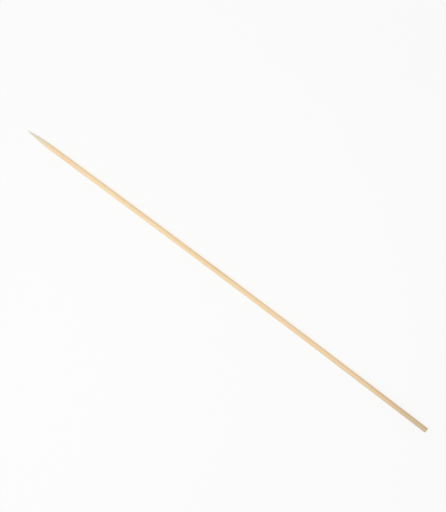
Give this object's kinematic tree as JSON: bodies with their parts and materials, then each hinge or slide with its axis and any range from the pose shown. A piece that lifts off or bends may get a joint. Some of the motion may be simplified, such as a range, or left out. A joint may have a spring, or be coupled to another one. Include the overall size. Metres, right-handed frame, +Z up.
{
  "type": "bamboo skewer",
  "caption": "Long thin round bamboo stick with a ground point, a blunt nose, a square sawn butt and a slight natural bow, for holding food on a grill.",
  "frame": {"origin": "centre of the flat sawn butt face, on the stick's middle line", "axes": "+X along the straight line from the butt to the point; the bow lies flat in the XY plane and swells towards -Y; +Z up as the stick lies on a table"},
  "size_m": [0.305, 0.004, 0.0032],
  "materials": {
    "bamboo": "bare planed bamboo, dry and satin matt, with fine lengthwise fibres; the point is ground and the butt is sawn"
  },
  "bodies": {
    "root": {"skewer": "bamboo"}
  },
  "joints": []
}
